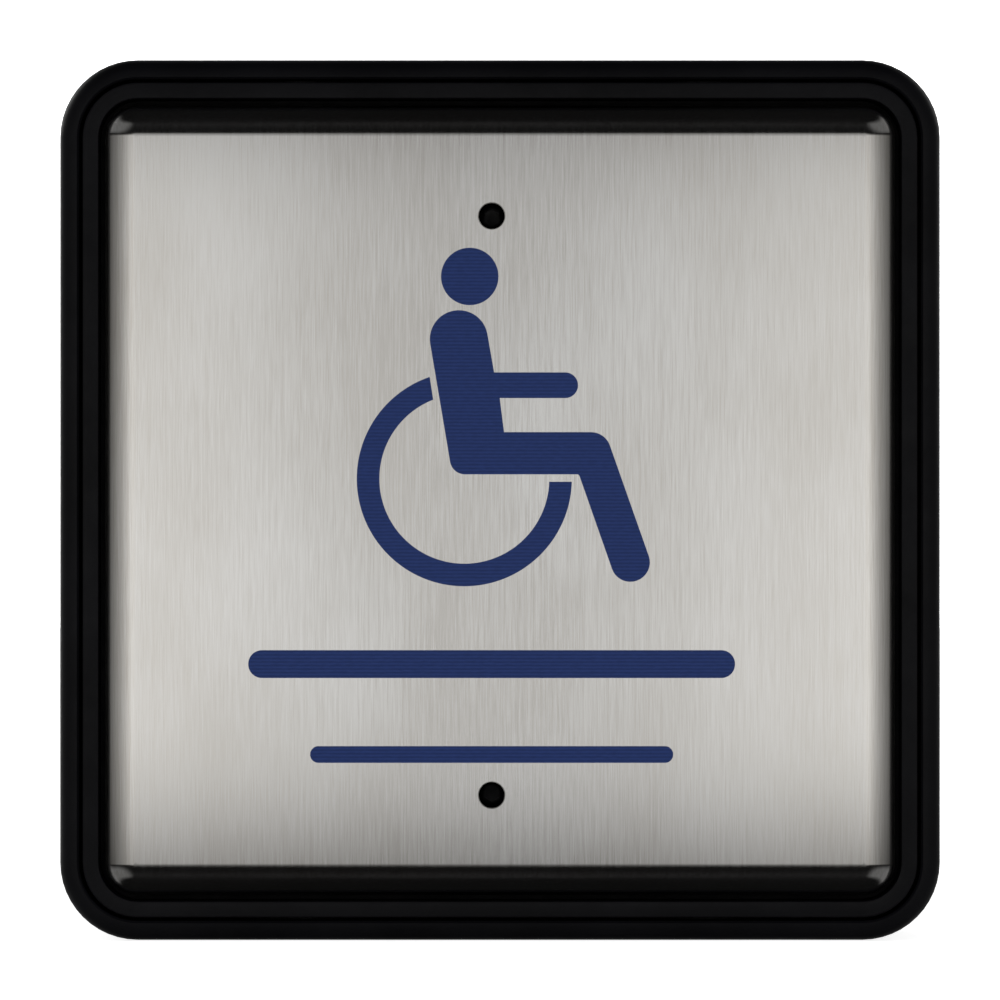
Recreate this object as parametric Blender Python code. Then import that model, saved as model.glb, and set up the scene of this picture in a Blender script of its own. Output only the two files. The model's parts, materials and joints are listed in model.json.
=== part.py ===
"""Push plate switch for an automatic door, on a square surface box.

Frame: metres, +Z up. The wall is the plane Y = 0, the front faces -Y, and the origin is the
centre of the box's back. Depths are distances from the wall, so a depth d lies at Y = -d.
"""

import math

import bmesh
import bpy
from mathutils import Matrix, Vector

MM = 0.001
GAP = 0.3 * MM  # between pieces that touch
SHARP_ANGLE = math.radians(35)
CORNER_STEPS = 12  # facets in a quarter turn of a rounded square
BEND_STEPS = 8  # facets in a quarter turn of a bend or a rounded front edge
ROUND_STEPS = 16  # facets round a small turned piece
HOLE_STEPS = 28  # facets round the face's holes

# Driving dimensions: the box and the press stroke
BOX_HALF = 63.5 * MM
BOX_CORNER = 11.2 * MM
BOX_WALL = 2.8 * MM
BACK_WALL = 3.0 * MM
SHOULDER = 2.5 * MM  # radius of the box's rounded front edge
SHOULDER_DEPTH = 46.2 * MM
PRESS_TRAVEL = 2.0 * MM

# Bezel ring, nested inside the box's front edge
GROOVE = 0.5 * MM
BEZEL_HALF = BOX_HALF - BOX_WALL - GROOVE
BEZEL_CORNER = 8.0 * MM
BEZEL_WIDTH = 2.4 * MM
BEZEL_EDGE = 0.35 * MM
BEZEL_DEPTH = 46.8 * MM
BEZEL_FLOOR = 35.3 * MM
FLANGE = 1.5 * MM
FLANGE_HALF = 50.0 * MM
FLANGE_CORNER = 3.0 * MM
BEZEL_SCREW_AT = 53.5 * MM

# Face plate: a pan with rounded bends
FACE_DEPTH = 50.0 * MM
FACE_HALF = 56.9 * MM
FACE_SHEET = 1.5 * MM
FACE_BEND = 4.2 * MM
FACE_CORNER = 4.5 * MM
PAN_DEPTH = 8.5 * MM
ACCESS_HOLE = 1.85 * MM
GANG_SPACING = 83.3 * MM  # the screw spacing of a single-gang wall box
GANG_CENTRE = (-1.2 * MM, -0.8 * MM)  # X and Z of the middle between the two access holes
GANG_AT = {
    "top": (GANG_CENTRE[0], GANG_CENTRE[1] + GANG_SPACING / 2),
    "bottom": (GANG_CENTRE[0], GANG_CENTRE[1] - GANG_SPACING / 2),
}
STUD_AT = 38.0 * MM

# Back plate, which carries the springs and the switch
PLATE_DEPTH = 36.2 * MM  # its rear face
PLATE_SHEET = 1.5 * MM
PLATE_HALF = 49.0 * MM
PLATE_CORNER = 4.0 * MM
STIFFENER = 5.0 * MM

# Snap-action switch, in the box's middle: its length runs along X, its height towards the front
SWITCH_Z = 6.0 * MM
SWITCH_FOOT = 20.4 * MM  # depth of its foot
SWITCH_LENGTH = 27.8 * MM
SWITCH_HEIGHT = 15.9 * MM
SWITCH_SIDE = 5.15 * MM  # half its thickness
COVER_SHEET = 1.0 * MM
FIXING_HOLES = ((-10.4 * MM, 3.4 * MM), (10.6 * MM, 11.4 * MM))
FIXING_RADIUS = 1.75 * MM
PIVOT = (-11.0 * MM, 17.7 * MM)
PLUNGER_X = -2.5 * MM
LEVER_REST = math.radians(6.0)
ROLLER_REACH = 23.5 * MM
ROLLER_RISE = 3.2 * MM
ROLLER_RADIUS = 2.4 * MM
ROLLER_HALF = 1.6 * MM
BLADE_PIVOT = (-6.4 * MM, 9.0 * MM)
TERMINAL_SHEET = 0.6 * MM
TERMINAL_HALF = 2.3 * MM
TERMINAL_TAIL = 7.0 * MM
TERMINALS = {"com": -6.4 * MM, "no": 3.5 * MM, "nc": 10.4 * MM}

# Terminal block under the switch, on the back plate's rear face
BLOCK_TOP = -18.5 * MM
BLOCK_BOTTOM = -29.5 * MM
BLOCK_DEPTHS = (26.0 * MM, PLATE_DEPTH - GAP)
BLOCK_HALF = 13.0 * MM
BLOCK_PITCH = 8.0 * MM
POLES = {"com": -BLOCK_PITCH, "no": 0.0, "nc": BLOCK_PITCH}
LEAD_RADIUS = 0.8 * MM
LEAD_ENTRY_DEPTH = 31.0 * MM

# Cable entry in the box's back
CABLE_Z = -20.0 * MM
CABLE_HOLE = 7.0 * MM
CABLE_BORE = 4.25 * MM
CABLE_RECESS = (9.5 * MM, 1.2 * MM)

CORNERS = {
    "top_left": (-1, 1),
    "top_right": (1, 1),
    "bottom_left": (-1, -1),
    "bottom_right": (1, -1),
}


# Meshes, each built as a bmesh


def rounded_square(half, corner, depth):
    """The points of a square with rounded corners, parallel to the wall."""
    middle = half - corner
    points = []
    for quarter, (sx, sz) in enumerate(((1, 1), (-1, 1), (-1, -1), (1, -1))):
        for step in range(CORNER_STEPS + 1):
            angle = math.radians(90) * (quarter + step / CORNER_STEPS)
            x = sx * middle + corner * math.cos(angle)
            z = sz * middle + corner * math.sin(angle)
            points.append((x, -depth, z))
    return points


def loft(sections, closed=False):
    """A solid through rounded squares given as (half, corner, depth), capped unless its section is closed."""
    body = bmesh.new()
    rings = [[body.verts.new(p) for p in rounded_square(*section)] for section in sections]
    pairs = list(zip(rings, rings[1:]))
    if closed:
        pairs.append((rings[-1], rings[0]))
    else:
        body.faces.new(rings[0])
        body.faces.new(rings[-1])
    for first, second in pairs:
        for i in range(len(first)):
            j = (i + 1) % len(first)
            body.faces.new((first[i], first[j], second[j], second[i]))
    bmesh.ops.recalc_face_normals(body, faces=body.faces)
    return body


def turned(profile, steps=ROUND_STEPS, ring=False):
    """A solid of revolution about Y. Its (radius, y) points run from axis to axis, or close in a ring."""
    body = bmesh.new()
    verts = [body.verts.new((radius, y, 0)) for radius, y in profile]
    edges = [body.edges.new(pair) for pair in zip(verts, verts[1:])]
    if ring:
        edges.append(body.edges.new((verts[-1], verts[0])))
    bmesh.ops.spin(body, geom=verts + edges, axis=(0, 1, 0), cent=(0, 0, 0), angle=math.tau, steps=steps)
    bmesh.ops.remove_doubles(body, verts=body.verts, dist=0.001 * MM)
    bmesh.ops.recalc_face_normals(body, faces=body.faces)
    return body


def block(x, depth, z):
    """A box between two limits along X, two depths and two limits along Z."""
    body = bmesh.new()
    size = (x[1] - x[0], depth[1] - depth[0], z[1] - z[0])
    middle = ((x[0] + x[1]) / 2, -(depth[0] + depth[1]) / 2, (z[0] + z[1]) / 2)
    bmesh.ops.create_cube(body, size=1, matrix=Matrix.Translation(middle) @ Matrix.Diagonal((*size, 1)))
    return body


def rod(radius, start, end, steps=ROUND_STEPS):
    """A cylinder from start to end."""
    start, end = Vector(start), Vector(end)
    along = end - start
    place = Matrix.Translation((start + end) / 2) @ along.to_track_quat("Z", "Y").to_matrix().to_4x4()
    body = bmesh.new()
    bmesh.ops.create_cone(
        body, cap_ends=True, segments=steps, radius1=radius, radius2=radius, depth=along.length, matrix=place
    )
    return body


def bore(radius, x, z, depths, steps=ROUND_STEPS):
    """A cylinder square to the wall, at x and z, between two depths."""
    return rod(radius, (x, -depths[0], z), (x, -depths[1], z), steps)


def hexagon(across_flats, depths):
    """A hexagonal prism about Y, between two depths."""
    return bore(across_flats / 2 / math.cos(math.radians(30)), 0, 0, depths, steps=6)


def slab(outline, z):
    """An outline of (x, depth) points, extruded between two limits along Z."""
    body = bmesh.new()
    face = body.faces.new([body.verts.new((x, -depth, z[0])) for x, depth in outline])
    side = bmesh.ops.extrude_face_region(body, geom=[face])
    moved = [part for part in side["geom"] if isinstance(part, bmesh.types.BMVert)]
    bmesh.ops.translate(body, verts=moved, vec=(0, 0, z[1] - z[0]))
    bmesh.ops.recalc_face_normals(body, faces=body.faces)
    return body


def gathered(bodies):
    """Several bodies that don't meet, in one bmesh."""
    whole = bmesh.new()
    for body in bodies:
        mesh = bpy.data.meshes.new("part")
        body.to_mesh(mesh)
        body.free()
        whole.from_mesh(mesh)
        bpy.data.meshes.remove(mesh)
    return whole


def boolean(body, tool, operation):
    """The body after an exact Boolean with the tool."""
    objects = []
    for shape in (body, tool):
        mesh = bpy.data.meshes.new("operand")
        shape.to_mesh(mesh)
        shape.free()
        objects.append(bpy.data.objects.new("operand", mesh))
        bpy.context.scene.collection.objects.link(objects[-1])
    modifier = objects[0].modifiers.new("Boolean", "BOOLEAN")
    modifier.solver = "EXACT"
    modifier.operation = operation
    modifier.object = objects[1]
    graph = bpy.context.evaluated_depsgraph_get()
    made = bpy.data.meshes.new_from_object(objects[0].evaluated_get(graph))
    result = bmesh.new()
    result.from_mesh(made)
    meshes = [made] + [obj.data for obj in objects]
    for obj in objects:
        bpy.data.objects.remove(obj)
    for mesh in meshes:
        bpy.data.meshes.remove(mesh)
    return result


def cut(body, *tools):
    """The body with each tool taken away."""
    for tool in tools:
        body = boolean(body, tool, "DIFFERENCE")
    return body


def join(body, *tools):
    """The body with each tool added."""
    for tool in tools:
        body = boolean(body, tool, "UNION")
    return body


# Objects


def finish(name, colour, roughness, metallic=0.0):
    """A material with one colour, in linear RGB."""
    material = bpy.data.materials.new(name)
    material.use_nodes = True
    shader = material.node_tree.nodes["Principled BSDF"]
    shader.inputs["Base Color"].default_value = (*colour, 1)
    shader.inputs["Roughness"].default_value = roughness
    shader.inputs["Metallic"].default_value = metallic
    return material


def mesh_of(name, body, material):
    """A mesh with smooth shading, for one piece or several alike."""
    mesh = bpy.data.meshes.new(name)
    body.to_mesh(mesh)
    body.free()
    mesh.shade_smooth()
    mesh.set_sharp_from_angle(angle=SHARP_ANGLE)
    mesh.materials.append(material)
    return mesh


def place(name, data, parent, x=0.0, depth=0.0, z=0.0, turn=0.0):
    """An object at x, depth and z in the frame, turned about Z, and carried by its parent."""
    obj = bpy.data.objects.new(name, data)
    bpy.context.scene.collection.objects.link(obj)
    origin = Vector((x, -depth, z))
    if parent is not None:
        obj.parent = parent
        bpy.context.view_layer.update()
        obj.location = parent.matrix_world.inverted() @ origin
        obj.rotation_euler = (0, 0, turn - parent.matrix_world.to_euler().z)
    else:
        obj.location = origin
        obj.rotation_euler = (0, 0, turn)
    return obj


def piece(name, body, material, parent, **where):
    """One piece with a mesh of its own."""
    return place(name, mesh_of(name, body, material), parent, **where)


def joint_axis(name, parent, x, depth, z, turn=0.0):
    """An empty on a joint's axis, which carries the pieces that move with it."""
    return place(name, None, parent, x=x, depth=depth, z=z, turn=turn)


def tapped(profile_radius, length, tip=0.5 * MM):
    """The shank of a screw or stud as profile points, from its seat to a chamfered tip on the axis."""
    return [
        (profile_radius, 0),
        (profile_radius, length - tip),
        (profile_radius - tip, length),
        (0, length),
    ]


def slots(width, reach, depths):
    """The two arms of a cross recess, about Y."""
    return (
        block((-width / 2, width / 2), depths, (-reach, reach)),
        block((-reach, reach), depths, (-width / 2, width / 2)),
    )


# The box and its ring


def back_box(materials, root):
    inner_half = BOX_HALF - BOX_WALL
    inner_corner = BOX_CORNER - BOX_WALL
    inner_edge = 0.3 * MM
    shoulder_half = BOX_HALF - SHOULDER
    shoulder_corner = BOX_CORNER - SHOULDER
    sections = [(BOX_HALF, BOX_CORNER, 0.0)]
    for step in range(BEND_STEPS + 1):
        angle = math.radians(90) * step / BEND_STEPS
        out, up = SHOULDER * math.cos(angle), SHOULDER * math.sin(angle)
        sections.append((shoulder_half + out, shoulder_corner + out, SHOULDER_DEPTH - SHOULDER + up))
    sections.append((inner_half, inner_corner, SHOULDER_DEPTH - inner_edge))
    sections.append((inner_half, inner_corner, BACK_WALL))
    shell = loft(sections)

    foot = BACK_WALL - 1.0 * MM
    web_half = 1.0 * MM
    web_reach = inner_half + 0.8 * MM
    web_top = 30.0 * MM
    gang_top = PLATE_DEPTH - GAP
    support_x = 42.0 * MM
    posts = [bore(4.5 * MM, x, z, (foot, gang_top)) for x, z in GANG_AT.values()]
    posts += [bore(3.5 * MM, side * support_x, 0, (foot, gang_top)) for side in (-1, 1)]
    posts += [
        bore(3.8 * MM, sx * BEZEL_SCREW_AT, sz * BEZEL_SCREW_AT, (foot, BEZEL_FLOOR - GAP))
        for sx, sz in CORNERS.values()
    ]
    webs = []
    for x, z in GANG_AT.values():
        side = math.copysign(1, z)
        span = sorted((z + side * 2 * MM, side * web_reach))
        webs.append(block((x - web_half, x + web_half), (foot, web_top), span))
    for side in (-1, 1):
        span = sorted((side * (support_x + 2 * MM), side * web_reach))
        webs.append(block(span, (foot, web_top), (-web_half, web_half)))
    for sx, sz in CORNERS.values():
        web = block((0, 8.0 * MM), (foot, web_top), (-0.8 * MM, 0.8 * MM))
        angle = math.atan2(sz, sx)
        spot = Matrix.Translation((sx * BEZEL_SCREW_AT, 0, sz * BEZEL_SCREW_AT))
        web.transform(spot @ Matrix.Rotation(-angle, 4, "Y"))
        webs.append(web)
    shell = join(shell, gathered(posts), gathered(webs))

    insert_seat = 28.0 * MM
    screw_seat = 22.0 * MM
    wall_screw = (30.0 * MM, 48.0 * MM)
    holes = [bore(3.0 * MM, x, z, (insert_seat, PLATE_DEPTH + 1 * MM)) for x, z in GANG_AT.values()]
    for sx, sz in CORNERS.values():
        holes.append(bore(1.6 * MM, sx * BEZEL_SCREW_AT, sz * BEZEL_SCREW_AT, (screw_seat, BEZEL_FLOOR)))
        holes.append(bore(2.0 * MM, sx * wall_screw[0], sz * wall_screw[1], (-1 * MM, BACK_WALL + 1 * MM)))
    recess_radius, recess_depth = CABLE_RECESS
    holes.append(bore(CABLE_HOLE, 0, CABLE_Z, (-1 * MM, BACK_WALL + 1 * MM)))
    recess = bore(recess_radius, 0, CABLE_Z, (-1 * MM, recess_depth))

    knockout_radius, knockout_depth = 11.1 * MM, 22.0 * MM
    groove = turned(
        [
            (knockout_radius - 0.8 * MM, 0),
            (knockout_radius, 0),
            (knockout_radius, 2 * MM),
            (knockout_radius - 0.8 * MM, 2 * MM),
        ],
        steps=HOLE_STEPS,
        ring=True,
    )
    under = Matrix.Translation((0, -knockout_depth, -BOX_HALF + 0.9 * MM))
    groove.transform(under @ Matrix.Rotation(math.radians(-90), 4, "X"))
    shell = cut(shell, gathered(holes), recess, groove)
    piece("back_box", shell, materials["black_abs"], root)


def bezel_ring(materials, root):
    inner_half, inner_corner = BEZEL_HALF - BEZEL_WIDTH, BEZEL_CORNER - BEZEL_WIDTH
    edge = BEZEL_EDGE
    sections = [
        (BEZEL_HALF, BEZEL_CORNER, BEZEL_DEPTH - edge),
        (BEZEL_HALF - 0.3 * edge, BEZEL_CORNER - 0.3 * edge, BEZEL_DEPTH - 0.3 * edge),
        (BEZEL_HALF - edge, BEZEL_CORNER - edge, BEZEL_DEPTH),
        (inner_half + edge, inner_corner + edge, BEZEL_DEPTH),
        (inner_half + 0.3 * edge, inner_corner + 0.3 * edge, BEZEL_DEPTH - 0.3 * edge),
        (inner_half, inner_corner, BEZEL_DEPTH - edge),
        (inner_half, inner_corner, BEZEL_FLOOR + FLANGE),
        (FLANGE_HALF, FLANGE_CORNER, BEZEL_FLOOR + FLANGE),
        (FLANGE_HALF, FLANGE_CORNER, BEZEL_FLOOR),
        (BEZEL_HALF, BEZEL_CORNER, BEZEL_FLOOR),
    ]
    reach = (BEZEL_FLOOR - 1 * MM, BEZEL_FLOOR + FLANGE + 1 * MM)
    holes = [bore(1.6 * MM, sx * BEZEL_SCREW_AT, sz * BEZEL_SCREW_AT, reach) for sx, sz in CORNERS.values()]
    piece("bezel_ring", cut(loft(sections, closed=True), gathered(holes)), materials["black_abs"], root)

    head, height = 2.6 * MM, 1.8 * MM
    dome = [(0, -height), (1.6 * MM, -height), (head, -0.6 * MM), (head, 0)]
    screw = turned(dome + tapped(1.3 * MM, 12 * MM))
    screw = cut(screw, *slots(0.7 * MM, 1.3 * MM, (0.8 * MM, height + 1 * MM)))
    mesh = mesh_of("bezel_screw", screw, materials["zinc_steel"])
    for corner, (sx, sz) in CORNERS.items():
        x, z = sx * BEZEL_SCREW_AT, sz * BEZEL_SCREW_AT
        place("bezel_screw_" + corner, mesh, root, x=x, depth=BEZEL_FLOOR + FLANGE + GAP, z=z)


def cable_grommet(materials, root):
    recess_depth = CABLE_RECESS[1]
    groove = CABLE_HOLE - GAP
    lip = 9.2 * MM
    section = [
        (CABLE_BORE, -0.2 * MM),
        (lip, -0.2 * MM),
        (lip, -recess_depth + GAP),
        (groove, -recess_depth + GAP),
        (groove, -BACK_WALL - GAP),
        (lip - 0.2 * MM, -BACK_WALL - GAP),
        (lip - 1.0 * MM, -BACK_WALL - GAP - 1.2 * MM),
        (CABLE_BORE, -BACK_WALL - GAP - 1.2 * MM),
    ]
    piece("cable_grommet", turned(section, ring=True), materials["rubber"], root, z=CABLE_Z)


# The back plate and what holds it


def back_plate(materials, root):
    front = PLATE_DEPTH + PLATE_SHEET
    plate = loft([(PLATE_HALF, PLATE_CORNER, PLATE_DEPTH), (PLATE_HALF, PLATE_CORNER, front)])
    tab_top = SWITCH_Z - SWITCH_SIDE - GAP
    tab = block(
        (-SWITCH_LENGTH / 2, SWITCH_LENGTH / 2),
        (SWITCH_FOOT + 0.6 * MM, front - 0.1 * MM),
        (tab_top - PLATE_SHEET, tab_top),
    )
    folds = []
    for side in (-1, 1):
        span = sorted((side * PLATE_HALF, side * (PLATE_HALF - PLATE_SHEET)))
        folds.append(block(span, (PLATE_DEPTH - STIFFENER, front - 0.1 * MM), (-40 * MM, 40 * MM)))
    window = block(
        (-14.4 * MM, 15.2 * MM),
        (PLATE_DEPTH - 1 * MM, front + 1 * MM),
        (tab_top, SWITCH_Z + SWITCH_SIDE + 0.6 * MM),
    )
    through = (PLATE_DEPTH - 1 * MM, front + 1 * MM)
    holes = [bore(3.3 * MM, sx * STUD_AT, sz * STUD_AT, through) for sx, sz in CORNERS.values()]
    slot_half, slot_reach = 2.1 * MM, 1.6 * MM
    for x, z in GANG_AT.values():
        slot = join(
            block((x - slot_reach, x + slot_reach), through, (z - slot_half, z + slot_half)),
            bore(slot_half, x - slot_reach, z, through),
            bore(slot_half, x + slot_reach, z, through),
        )
        holes.append(slot)
    for x, rise in FIXING_HOLES:
        depth = SWITCH_FOOT + rise
        ends = ((x, -depth, tab_top + 1 * MM), (x, -depth, tab_top - PLATE_SHEET - 1 * MM))
        holes.append(rod(FIXING_RADIUS, *ends))
    for x in (-BLOCK_PITCH / 2, BLOCK_PITCH / 2):
        holes.append(bore(1.5 * MM, x, (BLOCK_TOP + BLOCK_BOTTOM) / 2, through))
    plate = cut(plate, window)
    plate = join(plate, tab, gathered(folds))
    piece("back_plate", cut(plate, gathered(holes)), materials["zinc_steel"], root)


def mounting_screws(materials, root):
    """Two socket screws that hold the back plate to brass inserts in the box, behind the face's holes."""
    head, height = 3.4 * MM, 2.2 * MM
    shank, length = 1.65 * MM, 9.0 * MM
    dome = [(0, -height), (1.7 * MM, -height), (2.8 * MM, -1.6 * MM), (head, -0.6 * MM), (head, 0)]
    screw = cut(turned(dome + tapped(shank, length)), hexagon(2.0 * MM, (0.9 * MM, height + 1 * MM)))
    screw_mesh = mesh_of("mounting_screw", screw, materials["black_oxide"])
    insert_bore, insert_radius, insert_length = 1.95 * MM, 2.7 * MM, 7.0 * MM
    insert = turned(
        [(insert_bore, 0), (insert_radius, 0), (insert_radius, insert_length), (insert_bore, insert_length)],
        ring=True,
    )
    insert_mesh = mesh_of("threaded_insert", insert, materials["brass"])
    seat = PLATE_DEPTH + PLATE_SHEET + GAP
    insert_front = PLATE_DEPTH - 3 * GAP
    for side, (x, z) in GANG_AT.items():
        place("mounting_screw_" + side, screw_mesh, root, x=x, depth=seat, z=z)
        place("threaded_insert_" + side, insert_mesh, root, x=x, depth=insert_front, z=z)


def bushings_and_springs(materials, root):
    """Nylon bushings guide the face's studs, and a spring round each stud pushes the face out."""
    front = PLATE_DEPTH + PLATE_SHEET
    flange = 1.0 * MM
    section = [
        (2.35 * MM, -flange),
        (4.8 * MM, -flange),
        (4.8 * MM, 0),
        (3.0 * MM, 0),
        (3.0 * MM, PLATE_SHEET + 1.5 * MM),
        (2.35 * MM, PLATE_SHEET + 1.5 * MM),
    ]
    bushing = mesh_of("guide_bushing", turned(section, ring=True), materials["nylon"])
    spring_base = front + GAP + flange + GAP
    spring_top = FACE_DEPTH - FACE_SHEET - GAP
    spring = spring_curve(spring_top - spring_base, materials["spring_steel"])
    for corner, (sx, sz) in CORNERS.items():
        x, z = sx * STUD_AT, sz * STUD_AT
        place("guide_bushing_" + corner, bushing, root, x=x, depth=front + GAP, z=z)
        place("return_spring_" + corner, spring, root, x=x, depth=spring_base, z=z)


def spring_curve(length, material):
    """A compression spring along -Y from its base, with one closed turn at each end."""
    wire, mean = 0.45 * MM, 3.7 * MM
    turns, steps = 5, 10
    closed_pitch = 1.15 * MM
    rise = length - 2 * wire - 2 * closed_pitch
    curve = bpy.data.curves.new("return_spring", "CURVE")
    curve.dimensions = "3D"
    curve.bevel_depth = wire
    curve.bevel_resolution = 0
    curve.use_fill_caps = True
    spline = curve.splines.new("POLY")
    spline.points.add(turns * steps)
    for i, point in enumerate(spline.points):
        turn = i / steps
        open_turns = min(max(turn - 1, 0), turns - 2)
        height = wire + closed_pitch * (turn - open_turns) + rise * open_turns / (turns - 2)
        angle = math.tau * turn
        point.co = (mean * math.cos(angle), -height, mean * math.sin(angle), 1)
    curve.materials.append(material)
    return curve


# The face plate and what moves with it


def face_plate(materials, mover):
    skirt = FACE_DEPTH - PAN_DEPTH
    inner_bend = FACE_BEND - FACE_SHEET
    sections = []
    for step in range(BEND_STEPS + 1):
        angle = math.radians(90) * step / BEND_STEPS
        out, up = FACE_BEND * math.sin(angle), FACE_BEND * math.cos(angle)
        half, corner = FACE_HALF - FACE_BEND + out, FACE_CORNER - FACE_BEND + out
        sections.append((half, corner, FACE_DEPTH - FACE_BEND + up))
    sections.append((FACE_HALF, FACE_CORNER, skirt))
    sections.append((FACE_HALF - FACE_SHEET, FACE_CORNER - FACE_SHEET, skirt))
    for step in range(BEND_STEPS, -1, -1):
        angle = math.radians(90) * step / BEND_STEPS
        out, up = inner_bend * math.sin(angle), inner_bend * math.cos(angle)
        half, corner = FACE_HALF - FACE_BEND + out, FACE_CORNER - FACE_BEND + out
        sections.append((half, corner, FACE_DEPTH - FACE_BEND + up))
    through = (FACE_DEPTH - FACE_SHEET - 1 * MM, FACE_DEPTH + 1 * MM)
    holes = [bore(ACCESS_HOLE, x, z, through, HOLE_STEPS) for x, z in GANG_AT.values()]
    pan = cut(loft(sections), gathered(holes))
    pan.transform(Matrix.Translation((0, FACE_DEPTH, 0)))
    piece("face_plate", pan, materials["stainless"], mover, depth=FACE_DEPTH)


def studs(materials, mover):
    """Four welded studs with a washer and a lock nut each, which stop the face at rest."""
    inside = FACE_DEPTH - FACE_SHEET
    base, base_height = 2.8 * MM, 0.8 * MM
    stud_length = 20.2 * MM
    profile = [(0, 0), (base, 0), (base, base_height), (2.0 * MM, base_height)]
    profile += tapped(2.0 * MM, stud_length)[1:]
    stud = mesh_of("guide_stud", turned(profile), materials["zinc_steel"])
    washer = mesh_of(
        "stud_washer",
        turned([(2.35 * MM, 0), (4.5 * MM, 0), (4.5 * MM, 0.8 * MM), (2.35 * MM, 0.8 * MM)], ring=True),
        materials["zinc_steel"],
    )
    nut_body = join(hexagon(7.0 * MM, (-3.2 * MM, 0)), bore(3.2 * MM, 0, 0, (-4.6 * MM, -1.0 * MM)))
    nut_body = cut(nut_body, bore(2.35 * MM, 0, 0, (-6 * MM, 1 * MM)))
    nut = mesh_of("lock_nut", nut_body, materials["zinc_steel"])
    washer_depth = PLATE_DEPTH - 1.5 * MM
    nut_depth = washer_depth - 0.8 * MM - GAP
    for corner, (sx, sz) in CORNERS.items():
        x, z = sx * STUD_AT, sz * STUD_AT
        place("guide_stud_" + corner, stud, mover, x=x, depth=inside - GAP, z=z)
        place("stud_washer_" + corner, washer, mover, x=x, depth=washer_depth, z=z)
        place("lock_nut_" + corner, nut, mover, x=x, depth=nut_depth, z=z)


def striker_pad(materials, mover, roller_x, roller_top):
    """The pad on the face's rear that presses the switch's roller."""
    seat = FACE_DEPTH - FACE_SHEET - GAP
    height = seat - roller_top - GAP
    edge = 0.5 * MM
    radius = 4.5 * MM
    pad = turned([(0, 0), (radius, 0), (radius, height - edge), (radius - edge, height), (0, height)])
    piece("striker_pad", pad, materials["nylon"], mover, x=roller_x, depth=seat, z=SWITCH_Z)


# The snap-action switch. Its shapes are drawn from its own foot, so rise is height above the foot.


def in_switch(x, rise):
    return x, SWITCH_FOOT + rise


def switch_block(x, rise, side):
    """A box in the switch's own terms, with side measured from its middle."""
    depth = (SWITCH_FOOT + rise[0], SWITCH_FOOT + rise[1])
    return block(x, depth, (SWITCH_Z + side[0], SWITCH_Z + side[1]))


def fixing_rods(radius, side):
    ends = SWITCH_Z + side[0], SWITCH_Z + side[1]
    rods = []
    for x, rise in FIXING_HOLES:
        depth = SWITCH_FOOT + rise
        rods.append(rod(radius, (x, -depth, ends[0]), (x, -depth, ends[1])))
    return rods


def switch_case(materials, root):
    half = SWITCH_LENGTH / 2
    open_side = SWITCH_SIDE - COVER_SHEET - GAP
    case = switch_block((-half, half), (0, SWITCH_HEIGHT), (-SWITCH_SIDE, open_side))
    lug_sides = ((-3.8 * MM, -2.8 * MM), (2.8 * MM, 3.8 * MM))
    pivot_x, pivot_rise = PIVOT
    lugs = []
    for side in lug_sides:
        rise = (SWITCH_HEIGHT - 1 * MM, pivot_rise + 1.6 * MM)
        lugs.append(switch_block((pivot_x - 1.6 * MM, pivot_x + 1.6 * MM), rise, side))
    case = join(case, gathered(lugs))
    floor = -SWITCH_SIDE + 1.25 * MM
    cavities = [
        switch_block((-7.6 * MM, 12.4 * MM), (1.6 * MM, 8.3 * MM), (floor, open_side + 1 * MM)),
        switch_block((-12.4 * MM, 7.5 * MM), (6.6 * MM, 14.2 * MM), (floor, open_side + 1 * MM)),
    ]
    holes = fixing_rods(FIXING_RADIUS, (-SWITCH_SIDE - 1 * MM, open_side + 1 * MM))
    slot = TERMINAL_SHEET / 2 + GAP
    for x in TERMINALS.values():
        slot_side = TERMINAL_HALF + GAP
        holes.append(switch_block((x - slot, x + slot), (-1 * MM, 2 * MM), (-slot_side, slot_side)))
    plunger_depths = (SWITCH_FOOT + 13 * MM, SWITCH_FOOT + SWITCH_HEIGHT + 1 * MM)
    holes.append(bore(1.6 * MM, PLUNGER_X, SWITCH_Z, plunger_depths))
    pivot_depth = SWITCH_FOOT + pivot_rise
    ends = ((pivot_x, -pivot_depth, SWITCH_Z - 5 * MM), (pivot_x, -pivot_depth, SWITCH_Z + 5 * MM))
    holes.append(rod(0.9 * MM, *ends))
    case = cut(case, *cavities, gathered(holes))
    piece("switch_case", case, materials["switch_case"], root)

    cover = switch_block((-half, half), (0, SWITCH_HEIGHT), (SWITCH_SIDE - COVER_SHEET, SWITCH_SIDE))
    cover = cut(cover, *fixing_rods(FIXING_RADIUS, (3 * MM, 6 * MM)))
    piece("switch_cover", cover, materials["switch_cover"], root)

    pin_reach = 4.1 * MM
    ends = ((0, 0, -pin_reach), (0, 0, pin_reach))
    pin = rod(0.6 * MM, *ends)
    piece("lever_pivot_pin", pin, materials["zinc_steel"], root, x=pivot_x, depth=pivot_depth, z=SWITCH_Z)


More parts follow.
